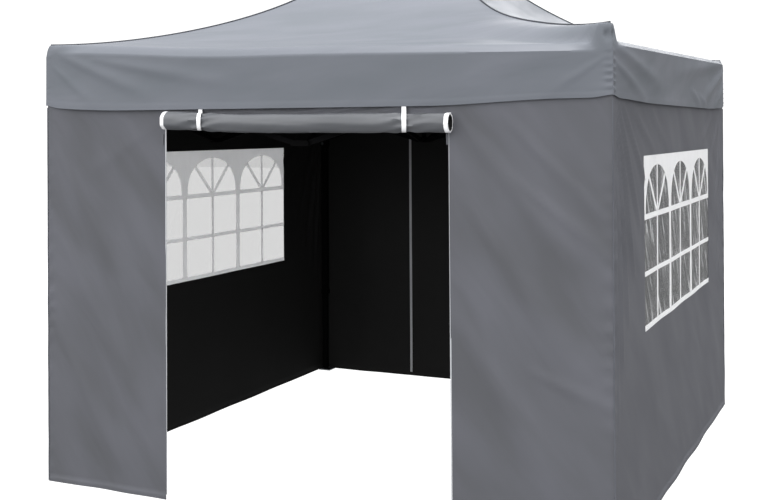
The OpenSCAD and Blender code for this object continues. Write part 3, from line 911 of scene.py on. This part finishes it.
def clear_pvc():
    """Soft clear sheet: see-through face on; from the side its gloss shows, and its packing creases as a
    painted white sheen.
    """
    made, tree = new_material("clear_pvc")
    place = add_node(tree, "UVMap", uv_map="cloth").outputs[0]
    slant = add_node(tree, "Mapping", {"Vector": place, "Rotation": (0, 0, math.radians(-62)),
                                       "Scale": (1.0, 0.1, 1.0)}, vector_type="TEXTURE")
    crinkle = add_node(tree, "TexNoise", {"Vector": slant.outputs[0], "Scale": 3.2, "Detail": 4.0,
                                          "Roughness": 0.6, "Distortion": 0.6}).outputs["Fac"]
    bump = add_node(tree, "Bump", {"Height": crinkle, "Strength": 0.35, "Distance": 0.03}).outputs[0]
    skim = add_node(tree, "LayerWeight", {"Blend": 0.5}).outputs["Facing"]
    aside = ranged(tree, skim, 0.0, 1.0, 0.5, 0.85)
    crease_lines = ranged(tree, crinkle, 0.0, 1.0, 0.55, 0.66)
    # Painted sheen: the crease lines turn white only where the sheet is seen from the side
    crease_sheen = add_node(tree, "Math", {0: crease_lines, 1: aside}, operation="MULTIPLY").outputs[0]
    plain = ranged(tree, aside, 0.31, 0.6)
    body = add_node(tree, "Math", {0: crease_sheen, 1: 0.25, 2: plain}, operation="MULTIPLY_ADD")
    show(tree, add_node(tree, "BsdfPrincipled", {
        "Base Color": blend(tree, crease_sheen, "#36393c", "#d4d6d9"), "Roughness": 0.1,
        "Alpha": body.outputs[0], "Normal": bump, "IOR": 1.53, "Specular IOR Level": 0.25,
        "Coat Weight": 0.4, "Coat Roughness": 0.05, "Coat Normal": bump,
    }))
    return made


def printed_ink():
    """White screen ink: even and matt, a little thin where the sheet was creased, and lit through."""
    made, tree = new_material("white_print")
    place = add_node(tree, "UVMap", uv_map="cloth").outputs[0]
    wear = add_node(tree, "TexNoise", {"Vector": place, "Scale": 14.0, "Detail": 5.0}).outputs["Fac"]
    show(tree, add_node(tree, "BsdfPrincipled", {
        "Base Color": blend(tree, wear, "#e6e7ea", "#dadbde"), "Specular IOR Level": 0.2,
        "Roughness": ranged(tree, wear, 0.35, 0.5), "Subsurface Weight": 0.85,
        "Subsurface Radius": (1.0, 1.0, 1.0), "Subsurface Scale": 0.008,
    }))
    return made


pvc = clear_pvc()
ink = printed_ink()


def join(pieces, name):
    """Joins pieces into the first one."""
    bpy.ops.object.select_all(action="DESELECT")
    for piece in pieces:
        piece.select_set(True)
    bpy.context.view_layer.objects.active = pieces[0]
    bpy.ops.object.join()
    pieces[0].name = name
    pieces[0].data.name = name
    return pieces[0]


def window(side_name, k, seed):
    """One side's pane and its printed bars."""
    def on_pane(x, z, proud):
        return at_side(k, narrows(x, z), wall_out - side_wall_back(x, z, seed) - pane_back + proud, z)

    low, high = window_low, window_high
    half = window_half - pane_fit
    pane = sewn_sheet(f"{side_name}_window_pane", spread(-half, half, 120), spread(low, high, 60),
                      lambda x, z: on_pane(x, z, 0), pane_t, [pvc])
    strips = []

    def strip(us, vs, where=lambda u, v: (u, v)):
        strips.append(sewn_sheet("bar", us, vs, lambda u, v: on_pane(*where(u, v), print_skin),
                                 pane_t + 2 * print_skin, [ink]))

    bay = 2 * half / sash_count
    bars = [(low + sill_w / 2, sill_w), (mid_z, mid_w), (spring_z, spring_w)]
    for z, width in bars:
        strip(spread(-half, half, 96), spread(z - width / 2, z + width / 2, 2))
    for (z0, width0), (z1, width1) in zip(bars, bars[1:]):
        for n in range(1, 2 * sash_count):
            width = post_w if n % 2 == 0 else upright_w
            x = -half + n * bay / 2
            strip(spread(x - width / 2, x + width / 2, 2), spread(z0 + width0 / 2, z1 - width1 / 2, 24))
    arch_half = bay / 2 - arch_side
    rise = high - arch_top_gap - spring_z
    foot = spring_w / 2
    head = high - spring_z - foot
    head_corner = math.atan2(head, bay / 2) / math.pi
    for n in range(sash_count):
        middle = -half + (n + 0.5) * bay

        def spandrel(t, v, middle=middle):
            turn = math.pi * (1 - t)
            x, z = arch_half * math.cos(turn), (rise - foot) * max(0.0, math.sin(turn)) ** arch_round
            far = max(abs(math.cos(turn)) / (bay / 2), math.sin(turn) / head)
            edge_x, edge_z = math.cos(turn) / far, math.sin(turn) / far
            return middle + x + (edge_x - x) * v, spring_z + foot + z + (edge_z - z) * v

        strip(sorted(spread(0, 1, 40) + [head_corner, 1 - head_corner]), spread(0, 1, 8), spandrel)
        for lean in (-1, 0, 1):
            turn = lean * ray_lean
            first = foot if lean == 0 else ray_w / 2 / math.tan(ray_lean / 2)
            last = rise if lean == 0 else ray_l

            def ray(u, v, middle=middle, turn=turn):
                return (middle + v * math.sin(turn) + u * math.cos(turn),
                        spring_z + v * math.cos(turn) - u * math.sin(turn))

            strip(spread(-ray_w / 2, ray_w / 2, 2), spread(first, last, 16), ray)
    printed = join(strips, f"{side_name}_window_print")
    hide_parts(f"{side_name}_window")
    for piece in (pane, printed):
        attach(piece, "cover")
        gathers(piece)


window("right", 1, right_seed)
window("left", 3, left_seed)


# Rolled-up door
# The door panel of the front wall, rolled up from its hem. Its white zip tapes run along both edges, so
# the roll's two ends show as white rings round a dark hollow, where the inner turns take the black coat as
# a painted shade.
roll_low, roll_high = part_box("door_roll")
roll_half = 0.7615
roll_shift = 0.0275
roll_r = 0.045
roll_z = (roll_low.z + roll_high.z) / 2
roll_drop = 0.016
roll_tilt = 0.006
roll_depth = 0.064
roll_off_wall = 0.002
roll_y = -wall_out - roll_off_wall - roll_depth / 2
roll_turns = 9
turn_steps = 26
roll_start = math.radians(75)
roll_twist = 1.5
roll_core = 0.55
roll_cloth_t = 0.0012
roll_pinch = 0.2
pinch_wide = 0.035
lump_share = 0.07
star_deep = 0.0045
star_wide = 0.11
furrow_deep = 0.0035
tape_show = 0.02
shaded_core = 0.8
tie_w = 0.022
tie_xs = (-0.507, 0.581)
# Painted shade: the rolled door is drawn a darker tone than the walls' polyester it is cut from
shaded_roll_cloth = coated_cloth("door_polyester", "#46484c", "#54565a", 35, 0.5, (0.34, 0.45))
tape_white = moulded("zip_tape", "#f0f0f1", "#dcdde0", (0.5, 0.65), 0.0, 1.2, 0.4)


def roll_middle(x):
    """Height of the roll's middle: it hangs lower to the right of its left tie."""
    share = (x - roll_shift + roll_half) / (2 * roll_half)
    return roll_z - roll_drop * smooth(3 * share) - roll_tilt * share


def near_tie(x, width):
    """1 under a tie, fading away from it."""
    return max(bell(x - tie_x, width) for tie_x in tie_xs)


def roll_point(x, v):
    """v runs along the cloth from the wall's head, down the back, round and in to the core."""
    turn = roll_start - math.tau * roll_turns * v
    shrink = 1 - (1 - roll_core) * v
    lump = 1 + lump_share * noise(Vector((2.6 * x, 1.3 * math.cos(turn), 1.3 * math.sin(turn))))
    star = star_deep * near_tie(x, star_wide) * math.sin(6 * turn + 30 * x)
    twist = turn - roll_twist * x
    twisted = Vector((1.2 * x, 3.4 * math.cos(twist), 3.4 * math.sin(twist)))
    furrow = furrow_deep * noise(twisted)
    size = shrink * (1 - roll_pinch * near_tie(x, pinch_wide)) * lump
    across = roll_depth / 2 * size + star + furrow
    tall = roll_r * size + star + furrow
    y = min(roll_y + across * math.cos(turn), -wall_out - roll_off_wall / 2)
    return Vector((x, y, roll_middle(x) + tall * math.sin(turn)))


roll_xs = spread(roll_shift - roll_half, roll_shift + roll_half, 150)
roll = sewn_sheet("rolled_door", roll_xs, spread(0, 1, roll_turns * turn_steps), roll_point, roll_cloth_t,
                  [shaded_roll_cloth, blackout, tape_white])
# Painted shade: at the roll's ends the inner turns take the black coat instead of the white tape
for face in roll.data.polygons:
    if abs(face.center.x - roll_shift) > roll_half - tape_show:
        rise = (face.center.z - roll_middle(face.center.x)) / roll_r
        reach = (face.center.y - roll_y) / (roll_depth / 2)
        face.material_index = 2 if math.hypot(rise, reach) > shaded_core else 1
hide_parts("door_roll")
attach(roll, "cover")
gathers(roll)


# Ties
# Two white webbing straps, sewn into the head over the doorway, brought round the roll and toggled.
tie_t = 0.0015
tie_grip = 0.0035
tie_slant = 0.45
tie_sewn_up = 0.01
tie_off_head = 0.004
tie_off_wall = 0.003
tie_room = 0.03
tie_start = math.radians(66)
tie_turn = math.radians(250)
tie_over = 0.12
tie_under = 0.94


def tie(name, x):
    """One strap: slanting down from the head, over the front of the roll and back up behind it."""
    start = Vector((-wall_out - tie_off_head, valance_low + tie_sewn_up))
    end = Vector((-wall_out - tie_off_wall, roll_middle(x)))
    size = 1 - roll_pinch + tie_room

    def strap(u, v):
        share = (max(tie_over, min(tie_under, v)) - tie_over) / (tie_under - tie_over)
        turn = tie_start + tie_turn * share
        y = roll_y + (roll_depth / 2 * size + tie_grip) * math.cos(turn)
        y = min(y, -wall_out - tie_off_wall)
        z = roll_middle(x) + (roll_r * size + tie_grip) * math.sin(turn)
        if v < tie_over:
            y, z = start.lerp(Vector((y, z)), v / tie_over)
        if v > tie_under:
            y, z = Vector((y, z)).lerp(end, (v - tie_under) / (1 - tie_under))
        return Vector((x + u - tie_slant * (y + wall_out + roll_depth), y, z))

    made = sewn_sheet(name, spread(-tie_w / 2, tie_w / 2, 4), spread(0, 1, 72), strap, tie_t,
                      [tape_white])
    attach(made, "cover")
    gathers(made)
    return made


ties = [tie("left_tie", tie_xs[0]), tie("right_tie", tie_xs[1])]


# Zips
# Coil zips: a woven tape with the teeth down its edge, white but drawn pale grey as a painted shade, on
# the strips of the front wall and down both edges of the back door, where the tape shows on both faces of
# the wall.
zip_low = 0.025
zip_proud = 0.0006
front_coil_w = 0.006
back_tape_w = 0.018
back_zip_top = 1.975
# Painted shade: the zips' white is drawn pale grey
zip_white_shaded = moulded("zip_white_shaded", "#b4b6b9", "#a3a5a9", (0.5, 0.65), 0.0, 1.2, 0.4)


def zip_tape(name, x, width, top, where, thickness, material):
    """One tape from just over the hem to its top."""
    made = sewn_sheet(name, spread(x - width / 2, x + width / 2, 4), spread(zip_low, top, 60), where,
                      thickness, [material])
    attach(made, "cover")
    gathers(made)
    return made


def front_coil_point(u, z):
    """Follows the free edge of a front strip."""
    edge = math.copysign(door_half, u)
    return at_side(0, narrows(u, z) + edge_shift(edge, z), wall_out + zip_proud - leans_in(z), z)


def back_tape_point(u, z):
    """Follows the back wall beside its door."""
    back = under_valance(z, door_wall_back(u, z, back_seed)) + leans_in(z)
    return at_side(2, narrows(u, z), wall_out + zip_proud - back, z)


front_zips = []
back_zips = []
for half, sign in (("left", -1), ("right", 1)):
    front_zips.append(zip_tape(f"front_{half}_zip", sign * door_half, front_coil_w, roll_z,
                               front_coil_point, wall_t + zip_proud, zip_white_shaded))
    back_zips.append(zip_tape(f"back_{half}_zip", sign * (door_half - back_tape_w / 2), back_tape_w,
                              back_zip_top, back_tape_point, wall_t + 2 * zip_proud, zip_white_shaded))
painted_pull = moulded("painted_zip_pull", "#505156", "#595a5f", (0.45, 0.6), 0.0, 2.0, 0.2, 0.2)
for pulls, finish in (("front_zip_pulls", painted_pull), ("back_zip_pulls", zip_white_shaded)):
    finish_node(pulls, finish)
    gathers_sliding(pulls, lambda co: Vector((math.copysign(door_half, co.x), co.y, co.z)))
doorway_area = 2 * door_half * door_head
window_area = 2 * window_half * (window_high - window_low)
for wall, sewn_on, cut in ((front_wall, front_zips + seams[:2], doorway_area),
                           (back_wall, back_zips + seams[2:], 0),
                           (right_wall, [], window_area), (left_wall, [], window_area)):
    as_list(sewn_on)


# Floor, light and camera
# A plain white floor and backdrop, an even studio light that is weaker behind the part, soft lights from
# overhead and from behind, and the camera at eye height near the right-hand corner.
floor_half = 40.0
floor_drop = 0.0005
seen_white = 1.18
floor_glow = 0.3
front_glow = 2.95
back_glow = 0.35
bpy.ops.object.select_all(action="DESELECT")
bpy.ops.mesh.primitive_plane_add(size=2 * floor_half, location=(0, 0, -floor_drop))
floor = bpy.context.object
floor.name = "floor"
bpy.ops.object.transform_apply(location=True)
white_floor, floor_tree = new_material("white_floor")
floor_seen = add_node(floor_tree, "LightPath").outputs["Is Camera Ray"]
floor_light = ranged(floor_tree, floor_seen, floor_glow, seen_white)
show(floor_tree, add_node(floor_tree, "BsdfPrincipled", {
    "Base Color": linear("#4a4a4a"), "Roughness": 1.0, "Specular IOR Level": 0.0,
    "Emission Color": linear("#ffffff"), "Emission Strength": floor_light,
}))
floor.data.materials.append(white_floor)

sky = bpy.data.worlds.new("sky")
sky.use_nodes = True
sky_tree = sky.node_tree
backdrop = sky_tree.nodes["Background"]
backdrop.inputs["Color"].default_value = linear("#ffffff")
backdrop.inputs["Strength"].default_value = seen_white
ways = add_node(sky_tree, "SeparateXYZ", {0: add_node(sky_tree, "TexCoord").outputs["Generated"]})
room = ranged(sky_tree, ways.outputs["Y"], front_glow, back_glow, -1.0, 1.0)
studio = add_node(sky_tree, "Background", {"Color": linear("#ffffff"), "Strength": room})
seen = add_node(sky_tree, "LightPath").outputs["Is Camera Ray"]
both = add_node(sky_tree, "MixShader", {0: seen, 1: studio.outputs[0], 2: backdrop.outputs[0]})
world_out = next(n for n in sky_tree.nodes if n.type == "OUTPUT_WORLD")
sky_tree.links.new(both.outputs[0], world_out.inputs["Surface"])
bpy.context.scene.world = sky

# Two soft lights: strength, width in degrees, and where they shine from
lamps = {"overhead": (4.7, 35, (0.0, 0.12, 0.99)), "rim": (0.5, 25, (-0.2, 0.94, 0.28))}
for name, (strength, wide, shines_from) in lamps.items():
    light = bpy.data.lights.new(name, "SUN")
    light.energy = strength
    light.angle = math.radians(wide)
    lamp = bpy.data.objects.new(name, light)
    bpy.context.scene.collection.objects.link(lamp)
    lamp.rotation_euler = (-Vector(shines_from)).to_track_quat("-Z", "Y").to_euler()

scene = bpy.context.scene
scene.view_settings.view_transform = "Standard"
photo_w, photo_h = 770, 500
focal_px = 1103.9
centre_px = (408.8, 105.6)
camera_data = bpy.data.cameras.new("camera")
camera_data.sensor_width = 36.0
camera_data.lens = focal_px / photo_w * camera_data.sensor_width
camera_data.shift_x = (photo_w / 2 - centre_px[0]) / photo_w
camera_data.shift_y = (centre_px[1] - photo_h / 2) / photo_w
camera = bpy.data.objects.new("camera", camera_data)
scene.collection.objects.link(camera)
camera_at = (2.6, -5.996, 1.818)
yaw, pitch, tilt = 0.4229, 0.0215, 0.0054
camera.location = camera_at
camera.rotation_euler = (math.pi / 2 + pitch, tilt, yaw)
scene.camera = camera
